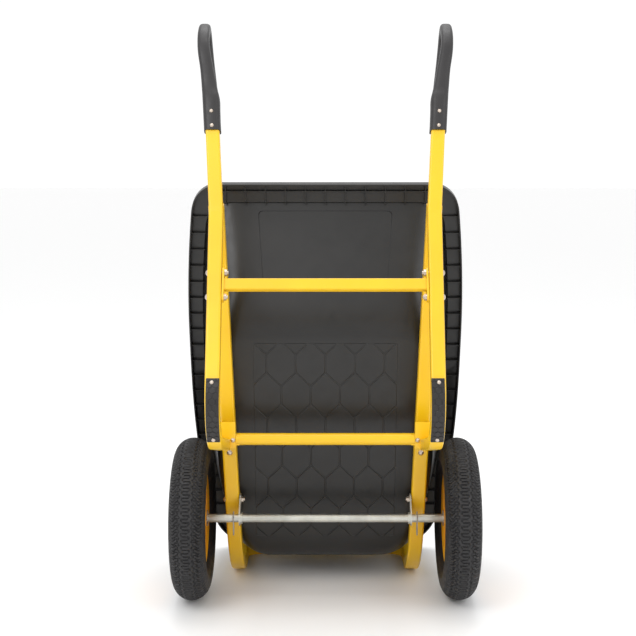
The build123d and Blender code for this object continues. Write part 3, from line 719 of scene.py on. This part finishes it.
def pad_spot(distance, out=0.0):
    """Point and outward normal of the pad's face at a distance from its lower end."""
    centre_y, centre_z = FOOT_BEND_CENTRE
    low = math.asin((PAD_LOW_Z - centre_z) / PAD_RADIUS)
    turn = LEG_SLOPE - low
    angle = low + min(distance / PAD_RADIUS, turn)
    normal = Vector((0, -math.cos(angle), math.sin(angle)))
    point = Vector((0, centre_y, centre_z)) + normal * (PAD_RADIUS + out)
    beyond = max(0.0, distance - PAD_RADIUS * turn)
    return point + Vector((0, math.sin(angle), math.cos(angle))) * beyond, normal


def pad_length():
    """Length of the pad's face between its lower and upper ends."""
    length = 0.0
    while pad_spot(length)[0].z < PAD_HIGH_Z:
        length += 0.5
    return length


def make_foot_pad(side):
    """Foot pad with honeycomb tiles, in place of the plain CAD pad."""
    length = pad_length()
    centre_x = Vector((side * PAD_X, 0, 0))
    store = ([], [])
    rows = []
    for i in range(41):
        distance = length * i / 40
        face, normal = pad_spot(distance, -1.4)
        back = face - normal * (PAD_THICKNESS - 1.6)
        round_off = PAD_HALF - 1.2
        for x, point in ((-PAD_HALF, back), (-PAD_HALF, face - normal), (-round_off, face),
                         (round_off, face), (PAD_HALF, face - normal), (PAD_HALF, back)):
            rows.append(place(point + centre_x + Vector((x, 0, 0))))
    faces = [list(range(6)), list(range(240, 246))[::-1]]
    for i in range(40):
        faces += bridge(i * 6, (i + 1) * 6, 6)
    add_part(store, (rows, faces))
    pitch = 2 * PAD_CELL
    for row in range(int(length / (pitch * 0.87)) + 2):
        shift = PAD_CELL if row % 2 else 0.0
        for column in (-1, 0, 1):
            outline_2d = hexagon(column * pitch + shift, row * pitch * 0.87, PAD_CELL, 7.2, 4.2, 0.8)
            cell = clip_polygon(outline_2d, (1.2 - PAD_HALF, 1.5), (PAD_HALF - 1.2, length - 1.5))
            if len(cell) > 2:
                _, normal = pad_spot(sum(v for _, v in cell) / len(cell))
                corners = [place(pad_spot(v, -1.4)[0] + centre_x + Vector((x, 0, 0))) for x, v in cell]
                add_part(store, plate(corners, normal, 1.3 * MM, 1.2 * MM, 0.5 * MM))
    name = "right_foot_pad" if side > 0 else "left_foot_pad"
    pad = mesh_object(name + "_tiles", store[0], store[1], PAD_BLACK, "frame", sharp=30)
    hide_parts(name)


for foot_side in (-1, 1):
    make_foot_pad(foot_side)


# ---------------------------------------------------------------- stage, light and camera

CAMERA_DISTANCE = 2.8
CAMERA_HEIGHT = 1.0
CAMERA_PITCH = 7.5
LENS = 72.96


def add_camera():
    """Camera in front of the underside, a little below the grips and looking slightly down."""
    data = bpy.data.cameras.new("camera")
    data.lens = LENS
    data.sensor_width = 36.0
    data.shift_x = -0.0115
    data.clip_end = 50.0
    camera = bpy.data.objects.new("camera", data)
    camera.location = (0, AXLE_Y - CAMERA_DISTANCE, CAMERA_HEIGHT)
    camera.rotation_euler = (math.radians(90 - CAMERA_PITCH), 0, 0)
    bpy.context.scene.collection.objects.link(camera)
    bpy.context.scene.camera = camera


def add_floor():
    """Plain pale floor, flat and far larger than the view."""
    shader = Shader("pale_floor", (0.92, 0.92, 0.92, 1.0), 0.55)
    mesh = bpy.data.meshes.new("floor")
    size = 30.0
    corners = [(-size, -size, 0), (size, -size, 0), (size, size, 0), (-size, size, 0)]
    mesh.from_pydata(corners, [], [(0, 1, 2, 3)])
    mesh.materials.append(shader.material)
    floor = bpy.data.objects.new("floor", mesh)
    bpy.context.scene.collection.objects.link(floor)


def add_light(name, location, target, size, power):
    """Soft square area light aimed at a point."""
    data = bpy.data.lights.new(name, "AREA")
    data.size = size
    data.energy = power
    light = bpy.data.objects.new(name, data)
    light.location = location
    light.rotation_euler = (Vector(target) - Vector(location)).to_track_quat("-Z", "Y").to_euler()
    bpy.context.scene.collection.objects.link(light)


def add_world():
    """Even white surroundings."""
    world = bpy.data.worlds.new("studio")
    world.use_nodes = True
    background = world.node_tree.nodes["Background"]
    background.inputs["Color"].default_value = (1.0, 1.0, 1.0, 1.0)
    background.inputs["Strength"].default_value = 1.05
    bpy.context.scene.world = world


bpy.context.scene.view_settings.view_transform = "Standard"
add_camera()
add_floor()
add_world()
add_light("key", (-1.6, -2.4, 3.0), (0, 0, 0.6), 1.6, 34)
add_light("fill", (2.2, -2.2, 2.2), (0, 0, 0.6), 1.6, 16)
add_light("top", (0, 0.6, 3.4), (0, 0, 0.4), 2.0, 34)
